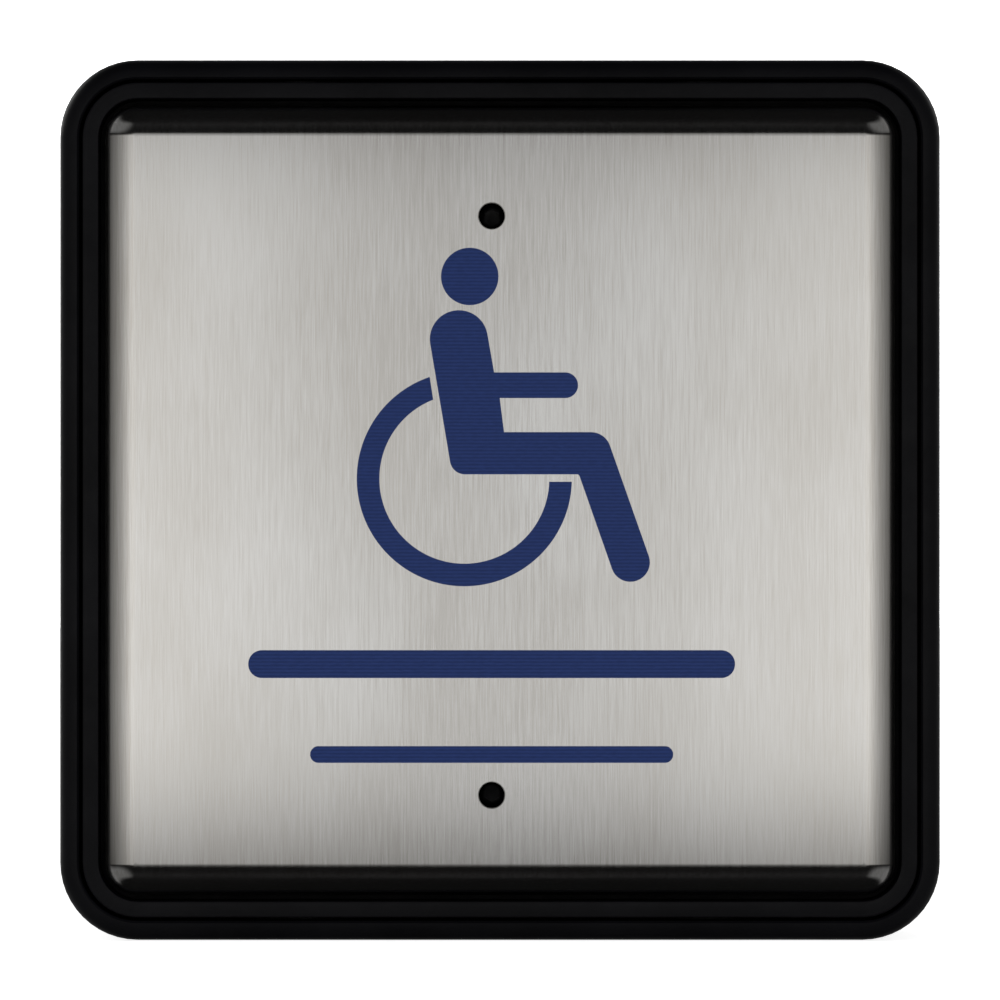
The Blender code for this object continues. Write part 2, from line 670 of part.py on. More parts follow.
def switch_terminals(materials, root):
    """Three strips that end in fixed contacts inside the case and in push-on tabs below it."""
    half = TERMINAL_SHEET / 2
    tail = -TERMINAL_TAIL
    com, no, nc = TERMINALS["com"], TERMINALS["no"], TERMINALS["nc"]
    outlines = {
        "com": [(com - half, tail), (com + half, tail), (com + half, 8.5 * MM), (com - half, 8.5 * MM)],
        "no": [
            (no - half, tail),
            (no + half, tail),
            (no + half, 6.8 * MM),
            (6.3 * MM, 6.8 * MM),
            (6.3 * MM, 7.4 * MM),
            (no - half, 7.4 * MM),
        ],
        "nc": [
            (nc - half, tail),
            (nc + half, tail),
            (nc + half, 7.6 * MM),
            (7.2 * MM, 7.6 * MM),
            (7.2 * MM, 10.6 * MM),
            (3.6 * MM, 10.6 * MM),
            (3.6 * MM, 10.0 * MM),
            (6.75 * MM, 10.0 * MM),
            (6.75 * MM, 7.0 * MM),
            (nc - half, 7.0 * MM),
        ],
    }
    for name, outline in outlines.items():
        points = [in_switch(x, rise) for x, rise in outline]
        strip = slab(points, (SWITCH_Z - TERMINAL_HALF, SWITCH_Z + TERMINAL_HALF))
        piece("switch_terminal_" + name, strip, materials["brass"], root)


def snap_blade(materials, pivot):
    """The moving contact: a thin blade from the common terminal to between the two fixed contacts."""
    blade = block((-0.5 * MM, 12.8 * MM), (-0.2 * MM, 0.15 * MM), (-1.8 * MM, 1.8 * MM))
    contact = bore(1.2 * MM, 11.6 * MM, 0, (-0.7 * MM, 0.7 * MM))
    where = {"x": BLADE_PIVOT[0], "depth": SWITCH_FOOT + BLADE_PIVOT[1], "z": SWITCH_Z}
    piece("snap_blade", join(blade, contact), materials["brass"], pivot, **where)


def switch_plunger(materials, pivot, top):
    """A pin with a collar inside the case. Its origin is its tip, at the given rise above the foot."""
    foot, collar = 10.0 * MM, (12.4 * MM, 13.6 * MM)
    radius, collar_radius = 1.3 * MM, 2.0 * MM
    profile = [
        (0, 0),
        (radius - 0.4 * MM, 0),
        (radius, 0.4 * MM),
        (radius, top - collar[1]),
        (collar_radius, top - collar[1]),
        (collar_radius, top - collar[0]),
        (radius, top - collar[0]),
        (radius, top - foot),
        (0, top - foot),
    ]
    where = {"x": PLUNGER_X, "depth": SWITCH_FOOT + top, "z": SWITCH_Z}
    piece("switch_plunger", turned(profile), materials["switch_red"], pivot, **where)


def roller_place():
    """Where the roller's axle is at rest, as x and depth."""
    cosine, sine = math.cos(LEVER_REST), math.sin(LEVER_REST)
    x = PIVOT[0] + ROLLER_REACH * cosine - ROLLER_RISE * sine
    rise = PIVOT[1] + ROLLER_REACH * sine + ROLLER_RISE * cosine
    return in_switch(x, rise)


def switch_lever(materials, pivot):
    """A strip with an eye at its pivot and two ears for the roller, drawn flat, then turned."""
    sheet, side, gap_side = 0.5 * MM, 2.5 * MM, 2.0 * MM
    outline = [
        (0.0, 0.0),
        (24.4 * MM, 0.0),
        (25.3 * MM, 2.4 * MM),
        (25.0 * MM, 4.2 * MM),
        (23.5 * MM, 4.9 * MM),
        (22.0 * MM, 4.2 * MM),
        (20.6 * MM, sheet),
        (0.0, sheet),
    ]
    lever = slab(outline, (-side, side))
    lever = cut(lever, block((18 * MM, 27 * MM), (sheet, 6 * MM), (-gap_side, gap_side)))
    eye = rod(1.5 * MM, (0, 0, -side + 0.2 * MM), (0, 0, side - 0.2 * MM))
    lever = join(lever, eye)
    holes = [
        rod(0.9 * MM, (0, 0, -4 * MM), (0, 0, 4 * MM)),
        rod(0.9 * MM, (ROLLER_REACH, -ROLLER_RISE, -4 * MM), (ROLLER_REACH, -ROLLER_RISE, 4 * MM)),
    ]
    lever = cut(lever, gathered(holes))
    where = {"x": PIVOT[0], "depth": SWITCH_FOOT + PIVOT[1], "z": SWITCH_Z, "turn": -LEVER_REST}
    piece("switch_lever", lever, materials["spring_steel"], pivot, **where)

    roller_x, roller_depth = roller_place()
    pin = rod(0.6 * MM, (0, 0, -2.8 * MM), (0, 0, 2.8 * MM))
    piece("roller_pin", pin, materials["zinc_steel"], pivot, x=roller_x, depth=roller_depth, z=SWITCH_Z)


def lever_roller(materials, axle):
    section = [
        (0.9 * MM, -ROLLER_HALF),
        (ROLLER_RADIUS, -ROLLER_HALF),
        (ROLLER_RADIUS, ROLLER_HALF),
        (0.9 * MM, ROLLER_HALF),
    ]
    roller = turned(section, ring=True)
    roller.transform(Matrix.Rotation(math.radians(90), 4, "X"))
    roller_x, roller_depth = roller_place()
    piece("lever_roller", roller, materials["nylon"], axle, x=roller_x, depth=roller_depth, z=SWITCH_Z)


def switch_fixings(materials, root):
    """Two screws through the switch and the back plate's tab, each with a nut."""
    head, height, shank, length = 2.75 * MM, 1.9 * MM, 1.45 * MM, 16.3 * MM
    screw = turned([(0, -height), (1.9 * MM, -height), (head, -0.8 * MM), (head, 0)] + tapped(shank, length))
    screw = cut(screw, *slots(0.7 * MM, 1.4 * MM, (0.8 * MM, height + 1 * MM)))
    screw.transform(Matrix.Rotation(math.radians(-90), 4, "X"))
    screw_mesh = mesh_of("switch_screw", screw, materials["zinc_steel"])
    nut = cut(hexagon(5.5 * MM, (-2.4 * MM, 0)), bore(1.7 * MM, 0, 0, (-4 * MM, 1 * MM)))
    nut.transform(Matrix.Rotation(math.radians(-90), 4, "X"))
    nut_mesh = mesh_of("switch_nut", nut, materials["zinc_steel"])
    seat = SWITCH_Z + SWITCH_SIDE + GAP
    nut_z = SWITCH_Z - SWITCH_SIDE - GAP - PLATE_SHEET - GAP
    for number, (x, rise) in enumerate(FIXING_HOLES, start=1):
        depth = SWITCH_FOOT + rise
        place(f"switch_screw_{number}", screw_mesh, root, x=x, depth=depth, z=seat)
        place(f"switch_nut_{number}", nut_mesh, root, x=x, depth=depth, z=nut_z)


# Wiring


def terminal_block(materials, root):
    rear, front = BLOCK_DEPTHS
    body = block((-BLOCK_HALF, BLOCK_HALF), (rear, front), (BLOCK_BOTTOM, BLOCK_TOP))
    middle = (BLOCK_TOP + BLOCK_BOTTOM) / 2
    holes = []
    for x in POLES.values():
        entry_y = -LEAD_ENTRY_DEPTH
        above = BLOCK_TOP + 1 * MM, BLOCK_TOP - 3.5 * MM
        below = BLOCK_BOTTOM - 1 * MM, BLOCK_BOTTOM + 4 * MM
        holes.append(rod(1.3 * MM, (x, entry_y, above[0]), (x, entry_y, above[1])))
        holes.append(rod(1.8 * MM, (x, entry_y, below[0]), (x, entry_y, below[1])))
        holes.append(bore(2.3 * MM, x, middle, (rear - 1 * MM, rear + 2.6 * MM)))
    gutters = []
    for x in (-BLOCK_PITCH / 2, BLOCK_PITCH / 2):
        gutter = block((x - 0.6 * MM, x + 0.6 * MM), (rear - 1 * MM, rear + 2 * MM), (-40 * MM, -10 * MM))
        gutters.append(gutter)
    body = cut(body, gathered(holes), gathered(gutters))
    peg_end = PLATE_DEPTH + PLATE_SHEET
    for x in (-BLOCK_PITCH / 2, BLOCK_PITCH / 2):
        peg = bore(1.2 * MM, x, middle, (front - 0.5 * MM, peg_end + 0.8 * MM))
        head = bore(2.1 * MM, x, middle, (peg_end + GAP, peg_end + 1.1 * MM))
        body = join(body, join(peg, head))
    piece("terminal_block", body, materials["block_green"], root)

    radius, length, edge = 1.9 * MM, 2.2 * MM, 0.3 * MM
    screw = turned([(0, -length), (radius - edge, -length), (radius, edge - length), (radius, 0), (0, 0)])
    screw = cut(screw, block((-3 * MM, 3 * MM), (-1 * MM, 0.8 * MM), (-0.35 * MM, 0.35 * MM)))
    mesh = mesh_of("terminal_screw", screw, materials["zinc_steel"])
    for name, x in POLES.items():
        place("terminal_screw_" + name, mesh, root, x=x, depth=rear + 0.1 * MM, z=middle)


def receptacles(materials, root):
    """Insulated push-on connectors on the switch's tabs."""
    half_x, half_z = 1.7 * MM, 3.3 * MM
    start, end = -2.0 * MM, -9.5 * MM
    body = block((-half_x, half_x), (end, start), (-half_z, half_z))
    slot = block(
        (-TERMINAL_SHEET / 2 - GAP, TERMINAL_SHEET / 2 + GAP),
        (-TERMINAL_TAIL - GAP, start + 1 * MM),
        (-TERMINAL_HALF - GAP, TERMINAL_HALF + GAP),
    )
    lead_hole = bore(LEAD_RADIUS + GAP, 0, 0, (end - 1 * MM, end + 1.5 * MM))
    mesh = mesh_of("receptacle", cut(body, slot, lead_hole), materials["sleeve_blue"])
    for name, x in TERMINALS.items():
        place("receptacle_" + name, mesh, root, x=x, depth=SWITCH_FOOT, z=SWITCH_Z)


def smooth_route(points, steps):
    """Points on a Catmull-Rom curve through the route's own points."""
    ends = [2 * points[0] - points[1], *points, 2 * points[-1] - points[-2]]
    route = []
    for a, b, c, d in zip(ends, ends[1:], ends[2:], ends[3:]):
        for step in range(steps):
            t = step / steps
            pull = (c - a) * t + (2 * a - 5 * b + 4 * c - d) * t**2 + (3 * b - a - 3 * c + d) * t**3
            route.append(b + pull / 2)
    return route + [points[-1]]


def leads(materials, root):
    """Three wires from the receptacles to the terminal block."""
    for name, finish_name in (("com", "wire_black"), ("no", "wire_blue"), ("nc", "wire_red")):
        start, end = TERMINALS[name], POLES[name]
        mid = (start + end) / 2
        stops = [
            (start, SWITCH_FOOT - 8.4 * MM, SWITCH_Z),
            (start, SWITCH_FOOT - 10.6 * MM, SWITCH_Z),
            (start, 7.6 * MM, 4.2 * MM),
            (mid, 6.4 * MM, -0.6 * MM),
            (mid, 8.6 * MM, -6.0 * MM),
            (end, 14.6 * MM, -10.4 * MM),
            (end, 22.0 * MM, -12.6 * MM),
            (end, 28.4 * MM, -14.6 * MM),
            (end, LEAD_ENTRY_DEPTH, BLOCK_TOP + 0.6 * MM),
            (end, LEAD_ENTRY_DEPTH, BLOCK_TOP - 2.4 * MM),
        ]
        route = smooth_route([Vector((x, -depth, z)) for x, depth, z in stops], 2)
        curve = bpy.data.curves.new("lead_" + name, "CURVE")
        curve.dimensions = "3D"
        curve.bevel_depth = LEAD_RADIUS
        curve.bevel_resolution = 2
        curve.use_fill_caps = True
        spline = curve.splines.new("POLY")
        spline.points.add(len(route) - 1)
        for point, where in zip(spline.points, route):
            point.co = (*where, 1)
        curve.materials.append(materials[finish_name])
        place("lead_" + name, curve, root)


def finishes():
    return {
        "black_abs": finish("black_abs", (0.008, 0.008, 0.009), 0.35),
        "stainless": finish("stainless", (0.60, 0.59, 0.57), 0.35, 1.0),
        "zinc_steel": finish("zinc_steel", (0.62, 0.63, 0.64), 0.4, 1.0),
        "spring_steel": finish("spring_steel", (0.55, 0.55, 0.56), 0.3, 1.0),
        "black_oxide": finish("black_oxide", (0.02, 0.02, 0.02), 0.45, 1.0),
        "brass": finish("brass", (0.72, 0.52, 0.22), 0.35, 1.0),
        "nylon": finish("nylon", (0.80, 0.78, 0.70), 0.5),
        "rubber": finish("rubber", (0.015, 0.015, 0.015), 0.8),
        "switch_case": finish("switch_case", (0.02, 0.02, 0.02), 0.4),
        "switch_cover": finish("switch_cover", (0.03, 0.03, 0.03), 0.4),
        "switch_red": finish("switch_red", (0.55, 0.03, 0.02), 0.4),
        "block_green": finish("block_green", (0.02, 0.25, 0.10), 0.45),
        "sleeve_blue": finish("sleeve_blue", (0.04, 0.15, 0.55), 0.4),
        "wire_black": finish("wire_black", (0.01, 0.01, 0.01), 0.5),
        "wire_blue": finish("wire_blue", (0.02, 0.06, 0.35), 0.5),
        "wire_red": finish("wire_red", (0.45, 0.01, 0.01), 0.5),
    }


def main():
    for obj in list(bpy.data.objects):
        bpy.data.objects.remove(obj)
    materials = finishes()

    root = joint_axis("box_frame", None, 0, 0, 0)
    back_box(materials, root)
    bezel_ring(materials, root)
    cable_grommet(materials, root)
    back_plate(materials, root)
    mounting_screws(materials, root)
    bushings_and_springs(materials, root)
    switch_case(materials, root)
    switch_terminals(materials, root)
    switch_fixings(materials, root)
    terminal_block(materials, root)
    receptacles(materials, root)
    leads(materials, root)

    mover = joint_axis("plate_press_axis", root, 0, FACE_DEPTH, 0)
    roller_x, roller_depth = roller_place()
    face_plate(materials, mover)
    studs(materials, mover)
    striker_pad(materials, mover, roller_x, roller_depth + ROLLER_RADIUS)

    pivot_depth = SWITCH_FOOT + PIVOT[1]
    lever_axis = joint_axis("lever_axis", root, PIVOT[0], pivot_depth, SWITCH_Z)
    switch_lever(materials, lever_axis)
    roller_axis = joint_axis("roller_axis", lever_axis, roller_x, roller_depth, SWITCH_Z)
    lever_roller(materials, roller_axis)

    plunger_top = PIVOT[1] + (PLUNGER_X - PIVOT[0]) * math.tan(LEVER_REST) - GAP
    plunger_axis = joint_axis("plunger_axis", root, PLUNGER_X, SWITCH_FOOT + plunger_top, SWITCH_Z)
    switch_plunger(materials, plunger_axis, plunger_top)
    blade_axis = joint_axis("blade_axis", root, BLADE_PIVOT[0], SWITCH_FOOT + BLADE_PIVOT[1], SWITCH_Z)
    snap_blade(materials, blade_axis)


main()
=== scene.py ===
"""Looks of a push plate switch for an automatic door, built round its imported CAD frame.

Frame: metres, +Z up. The wall is the plane Y = 0, the front faces -Y, and a depth d lies at Y = -d.
"""

import json
import math

import bmesh
import bpy
from mathutils import Matrix, Vector


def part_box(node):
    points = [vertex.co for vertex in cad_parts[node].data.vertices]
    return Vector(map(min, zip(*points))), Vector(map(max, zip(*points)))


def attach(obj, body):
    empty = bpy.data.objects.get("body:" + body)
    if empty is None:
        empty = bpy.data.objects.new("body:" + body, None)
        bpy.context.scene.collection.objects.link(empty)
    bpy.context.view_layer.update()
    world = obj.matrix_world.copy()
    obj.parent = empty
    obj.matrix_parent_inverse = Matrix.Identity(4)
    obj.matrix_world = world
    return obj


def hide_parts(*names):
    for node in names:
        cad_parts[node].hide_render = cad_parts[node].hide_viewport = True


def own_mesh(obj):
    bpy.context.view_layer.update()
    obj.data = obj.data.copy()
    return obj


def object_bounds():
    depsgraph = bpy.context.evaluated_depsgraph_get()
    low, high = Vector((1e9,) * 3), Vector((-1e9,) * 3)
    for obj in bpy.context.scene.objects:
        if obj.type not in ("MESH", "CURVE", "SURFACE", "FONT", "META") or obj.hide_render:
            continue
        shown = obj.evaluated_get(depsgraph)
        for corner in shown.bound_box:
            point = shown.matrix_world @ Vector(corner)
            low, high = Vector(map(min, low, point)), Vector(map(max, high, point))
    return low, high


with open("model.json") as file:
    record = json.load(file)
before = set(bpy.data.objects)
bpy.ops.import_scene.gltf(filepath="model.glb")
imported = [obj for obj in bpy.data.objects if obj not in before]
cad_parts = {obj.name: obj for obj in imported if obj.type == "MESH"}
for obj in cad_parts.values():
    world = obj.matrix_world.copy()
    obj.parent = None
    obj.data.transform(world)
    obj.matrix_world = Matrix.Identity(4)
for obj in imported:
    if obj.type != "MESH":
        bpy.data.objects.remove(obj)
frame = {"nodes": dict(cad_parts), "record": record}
cad_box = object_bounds()

MM = 0.001
SHARP_ANGLE = math.radians(35)
NODES = frame["nodes"]
BODY_OF = {n: body for body, names in frame["record"]["behaviour"]["bodies"].items() for n in names}


# Materials


class Nodes:
    """Adds nodes to a shader tree."""

    def __init__(self, tree):
        self.tree = tree

    def node(self, kind, inputs=None, **settings):
        """A shader node. Its inputs are given as values or as other nodes' outputs."""
        made = self.tree.nodes.new("ShaderNode" + kind)
        for key, value in settings.items():
            setattr(made, key, value)
        for socket, value in (inputs or {}).items():
            if isinstance(value, bpy.types.NodeSocket):
                self.tree.links.new(value, made.inputs[socket])
            else:
                made.inputs[socket].default_value = value
        return made

    def math(self, operation, first, second=0.0):
        return self.node("Math", {0: first, 1: second}, operation=operation).outputs[0]

    def faded(self, value, start, end, low, high=1.0):
        """A smooth step from low to high, as the value goes from start to end."""
        inputs = {"Value": value, "From Min": start, "From Max": end, "To Min": low, "To Max": high}
        return self.node("MapRange", inputs, interpolation_type="SMOOTHSTEP").outputs["Result"]


class Surface(Nodes):
    """A Principled material, and the nodes that vary it over the surface."""

    def __init__(self, name, **sockets):
        self.material = bpy.data.materials.new(name)
        self.material.use_nodes = True
        super().__init__(self.material.node_tree)
        self.shader = self.tree.nodes["Principled BSDF"]
        for socket, value in sockets.items():
            self.shader.inputs[socket.replace("_", " ")].default_value = value

    def place(self, size, stretch=(1, 1, 1)):
        """Object coordinates in units of size, drawn out along each axis by stretch."""
        scale = [1 / (size * part) for part in stretch]
        coordinates = self.node("TexCoord").outputs["Object"]
        return self.node("Mapping", {"Vector": coordinates, "Scale": scale}).outputs["Vector"]

    def noise(self, size, stretch=(1, 1, 1), detail=3.0, roughness=0.5):
        """Noise from about 0.3 to 0.7, in patches of about this size."""
        inputs = {
            "Vector": self.place(size, stretch),
            "Scale": 1.0,
            "Detail": detail,
            "Roughness": roughness,
        }
        return self.node("TexNoise", inputs).outputs["Fac"]

    def ranged(self, value, low, high, start=0.3, end=0.7):
        """The value between start and end, mapped to low and high."""
        inputs = {"Value": value, "From Min": start, "From Max": end, "To Min": low, "To Max": high}
        return self.node("MapRange", inputs).outputs["Result"]

    def colour(self, value, dark, light, start=0.3, end=0.7, socket="Base Color"):
        """Colour between two linear colours, as the value goes from start to end."""
        ramp = self.node("ValToRGB", {"Fac": value})
        for element, position, colour in zip(ramp.color_ramp.elements, (start, end), (dark, light)):
            element.position = position
            element.color = (*colour, 1)
        self.link(ramp.outputs["Color"], socket)

    def roughness(self, value, low, high):
        self.link(self.ranged(value, low, high), "Roughness")

    def bump(self, height, distance, strength=1.0):
        """Adds relief of this depth to what is there already."""
        normal = self.shader.inputs["Normal"]
        inputs = {"Height": height, "Distance": distance, "Strength": strength}
        if normal.is_linked:
            inputs["Normal"] = normal.links[0].from_socket
        self.link(self.node("Bump", inputs).outputs["Normal"], "Normal")

    def link(self, output, socket):
        self.tree.links.new(output, self.shader.inputs[socket])


def moulded(name, dark, light, rough, grain=0.25 * MM, relief=0.01 * MM, **sockets):
    """Moulded plastic: a fine spark-eroded grain and a slow change of gloss."""
    plastic = Surface(name, **sockets)
    slow = plastic.noise(14 * MM, detail=2.0)
    plastic.colour(slow, dark, light)
    plastic.roughness(plastic.noise(3 * MM, detail=4.0), *rough)
    plastic.bump(plastic.noise(grain, detail=2.0), relief)
    return plastic.material


def metal(name, dark, light, rough, stretch=(1, 1, 1), **sockets):
    """Plain or plated metal: faint tarnish, drawn or rolled marks and small dents."""
    surface = Surface(name, Metallic=1.0, **sockets)
    surface.colour(surface.noise(2.5 * MM, detail=5.0), dark, light)
    surface.roughness(surface.noise(0.5 * MM, stretch, detail=4.0), *rough)
    surface.bump(surface.noise(0.3 * MM, stretch, detail=3.0), 0.006 * MM)
    return surface.material


def brushed_steel():
    """Stainless steel brushed along Z, so its reflections spread along X."""
    steel = Surface("stainless", Metallic=1.0, Anisotropic=0.88)
    tangent = steel.node("Tangent", direction_type="RADIAL", axis="Z").outputs["Tangent"]
    steel.link(tangent, "Tangent")
    fine = steel.noise(0.14 * MM, (1, 1, 40), detail=2.0)
    long = steel.noise(0.45 * MM, (1, 1, 90), detail=3.0, roughness=0.6)
    slow = steel.noise(26 * MM, (1, 1, 1.6), detail=2.0)
    streaks = steel.math("ADD", steel.math("MULTIPLY", fine, 0.6), steel.math("MULTIPLY", long, 0.4))
    toned = steel.math("ADD", steel.math("MULTIPLY", streaks, 0.62), steel.math("MULTIPLY", slow, 0.38))
    steel.colour(toned, (0.56, 0.543, 0.517), (0.672, 0.666, 0.655), 0.4, 0.6)
    steel.roughness(streaks, 0.14, 0.19)
    steel.bump(streaks, 0.0015 * MM)
    return steel.material


def ink_finish():
    """Screen-printed ink: the mesh of the screen shows as fine level ridges."""
    ink = Surface("legend_blue", Specular_IOR_Level=0.12)
    inputs = {"Vector": ink.place(1 * MM), "Scale": 0.62, "Distortion": 0.4, "Detail": 1.0}
    ridges = ink.node("TexWave", inputs, bands_direction="Z").outputs["Fac"]
    weave = ink.noise(0.35 * MM, (3, 1, 1), detail=2.0)
    toned = ink.math("ADD", ink.math("MULTIPLY", ridges, 0.4), ink.math("MULTIPLY", weave, 0.6))
    ink.colour(toned, (0.008, 0.018, 0.073), (0.012, 0.026, 0.102))
    ink.roughness(weave, 0.3, 0.42)
    ink.bump(ridges, 0.006 * MM)
    return ink.material


MATERIALS = {
    "black_abs": moulded(
        "black_abs", (0.0015, 0.0015, 0.002), (0.0025, 0.0025, 0.0033), (0.4, 0.52), Specular_IOR_Level=0.15
    ),
    "stainless": brushed_steel(),
    "legend_blue": ink_finish(),
    "zinc_steel": metal("zinc_steel", (0.6, 0.62, 0.66), (0.72, 0.73, 0.75), (0.22, 0.4)),
    "spring_steel": metal("spring_steel", (0.5, 0.5, 0.52), (0.6, 0.6, 0.62), (0.2, 0.34)),
    "black_oxide": metal("black_oxide", (0.02, 0.02, 0.022), (0.035, 0.034, 0.033), (0.34, 0.5)),
    "brass": metal("brass", (0.62, 0.43, 0.17), (0.74, 0.54, 0.24), (0.2, 0.36)),
    "nylon": moulded("nylon", (0.7, 0.68, 0.6), (0.8, 0.78, 0.7), (0.38, 0.5), Subsurface_Weight=0.1),
    "rubber": moulded("rubber", (0.012, 0.012, 0.013), (0.02, 0.02, 0.021), (0.6, 0.78), relief=0.02 * MM),
    "switch_case": moulded("switch_case", (0.015, 0.015, 0.016), (0.022, 0.022, 0.023), (0.36, 0.5)),
    "switch_cover": moulded("switch_cover", (0.026, 0.026, 0.028), (0.036, 0.036, 0.038), (0.36, 0.5)),
    "switch_red": moulded("switch_red", (0.48, 0.025, 0.016), (0.58, 0.035, 0.02), (0.28, 0.4)),
    "block_green": moulded("block_green", (0.014, 0.22, 0.085), (0.022, 0.28, 0.115), (0.3, 0.42)),
    "sleeve_blue": moulded("sleeve_blue", (0.03, 0.12, 0.5), (0.045, 0.16, 0.6), (0.24, 0.36)),
    "wire_black": moulded("wire_black", (0.009, 0.009, 0.009), (0.014, 0.014, 0.014), (0.36, 0.5)),
    "wire_blue": moulded("wire_blue", (0.016, 0.05, 0.32), (0.022, 0.065, 0.39), (0.36, 0.5)),
    "wire_red": moulded("wire_red", (0.4, 0.008, 0.008), (0.5, 0.012, 0.012), (0.36, 0.5)),
}


# Meshes, each built as a bmesh


def rounded_square(half, corner, depth, steps=24):
    """The points of a square with rounded corners, parallel to the wall."""
    middle = half - corner
    points = []
    for quarter, (sx, sz) in enumerate(((1, 1), (-1, 1), (-1, -1), (1, -1))):
        for step in range(steps + 1):
            angle = math.radians(90) * (quarter + step / steps)
            x = sx * middle + corner * math.cos(angle)
            z = sz * middle + corner * math.sin(angle)
            points.append((x, -depth, z))
    return points


def loft(sections):
    """A capped solid through rounded squares given as (half, corner, depth)."""
    body = bmesh.new()
    rings = [[body.verts.new(p) for p in rounded_square(*section)] for section in sections]
    body.faces.new(rings[0])
    body.faces.new(rings[-1])
    skin(body, rings)
    return body


def skin(body, rings):
    """Joins closed rings of as many vertices each with quads, and turns every face outwards."""
    for first, second in zip(rings, rings[1:]):
        for i in range(len(first)):
            j = (i + 1) % len(first)
            body.faces.new((first[i], first[j], second[j], second[i]))
    bmesh.ops.recalc_face_normals(body, faces=body.faces)


def turned(profile, steps=64):
    """A solid of revolution about Y. Its (radius, y) points run from axis to axis."""
    body = bmesh.new()
    verts = [body.verts.new((radius, y, 0)) for radius, y in profile]
    edges = [body.edges.new(pair) for pair in zip(verts, verts[1:])]
    bmesh.ops.spin(body, geom=verts + edges, axis=(0, 1, 0), cent=(0, 0, 0), angle=math.tau, steps=steps)
    bmesh.ops.remove_doubles(body, verts=body.verts, dist=0.001 * MM)
    bmesh.ops.recalc_face_normals(body, faces=body.faces)
    return body


def prism(outlines, front, back):
    """Flat shapes given as (x, z) outlines, each as thick as from one depth to the other."""
    body = bmesh.new()
    for outline in outlines:
        face = body.faces.new([body.verts.new((x, -back, z)) for x, z in outline])
        side = bmesh.ops.extrude_face_region(body, geom=[face])
        moved = [part for part in side["geom"] if isinstance(part, bmesh.types.BMVert)]
        bmesh.ops.translate(body, verts=moved, vec=(0, back - front, 0))
    bmesh.ops.recalc_face_normals(body, faces=body.faces)
    return body


def tube(points, radius, sides=16):
    """A round bar along a line of points, with flat ends."""
    body = bmesh.new()
    points = [Vector(p) for p in points]
    rings = []
    side = None
    for i, point in enumerate(points):
        along = (points[min(i + 1, len(points) - 1)] - points[max(i - 1, 0)]).normalized()
        if side is None:
            side = along.orthogonal().normalized()
        side = (side - along * side.dot(along)).normalized()
        other = along.cross(side)
        angles = [math.tau * k / sides for k in range(sides)]
        ring = [point + radius * (side * math.cos(a) + other * math.sin(a)) for a in angles]
        rings.append([body.verts.new(p) for p in ring])
    body.faces.new(rings[0])
    body.faces.new(rings[-1])
    skin(body, rings)
    return body


def cut(body, tool):
    """The body with the tool taken away by an exact Boolean."""
    objects = []
    for shape in (body, tool):
        mesh = bpy.data.meshes.new("operand")
        shape.to_mesh(mesh)
        shape.free()
        objects.append(bpy.data.objects.new("operand", mesh))
        bpy.context.scene.collection.objects.link(objects[-1])
    modifier = objects[0].modifiers.new("Boolean", "BOOLEAN")
    modifier.solver = "EXACT"
    modifier.object = objects[1]
    graph = bpy.context.evaluated_depsgraph_get()
    made = bpy.data.meshes.new_from_object(objects[0].evaluated_get(graph))
    result = bmesh.new()
    result.from_mesh(made)
    for mesh in [made] + [obj.data for obj in objects]:
        bpy.data.meshes.remove(mesh)
    return result


def arc(centre, radius, start, end, steps):
    """Points on a circle, between two angles in degrees."""
    angles = [math.radians(start + (end - start) * step / steps) for step in range(steps + 1)]
    return [(centre[0] + radius * math.cos(a), centre[1] + radius * math.sin(a)) for a in angles]


def filleted(corners, steps=16):
    """A polygon given as (x, z, radius), with each corner rounded to its radius."""
    outline = []
    for i, (x, z, radius) in enumerate(corners):
        here = Vector((x, z))
        if not radius:
            outline.append((x, z))
            continue
        before = (Vector(corners[i - 1][:2]) - here).normalized()
        after = (Vector(corners[(i + 1) % len(corners)][:2]) - here).normalized()
        half = before.angle(after) / 2
        centre = here + (before + after).normalized() * radius / math.sin(half)
        start = here + before * radius / math.tan(half) - centre
        end = here + after * radius / math.tan(half) - centre
        first = math.degrees(math.atan2(start.y, start.x))
        sweep = (math.degrees(math.atan2(end.y, end.x)) - first + 180) % 360 - 180
        outline += arc(centre, radius, first, first + sweep, steps)
    return outline


# Pieces


def piece(name, body, slot, carrier, replaced=()):
    """A finished piece that rides on a CAD body."""
    mesh = bpy.data.meshes.new(name)
    body.to_mesh(mesh)
    body.free()
    mesh.shade_smooth()
    mesh.set_sharp_from_angle(angle=SHARP_ANGLE)
    mesh.materials.append(MATERIALS[slot])
    obj = bpy.data.objects.new(name, mesh)
    bpy.context.scene.collection.objects.link(obj)
    normals = obj.modifiers.new("Flat faces stay flat", "WEIGHTED_NORMAL")
    normals.keep_sharp = True
    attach(obj, carrier)
    if replaced:
        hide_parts(*replaced)
    return obj


def middle_of(node):
    low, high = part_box(node)
    return (low + high) / 2


FACE_LOW, FACE_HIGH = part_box("face_plate")
FACE_HALF = FACE_HIGH.x
FACE_DEPTH = -FACE_LOW.y
INK = 0.04 * MM  # thickness of the printed ink
HOLES = [middle_of("mounting_screw_top"), middle_of("mounting_screw_bottom")]
LEGEND = (HOLES[0] + HOLES[1]) / 2  # the ink is laid out from the middle between the two holes


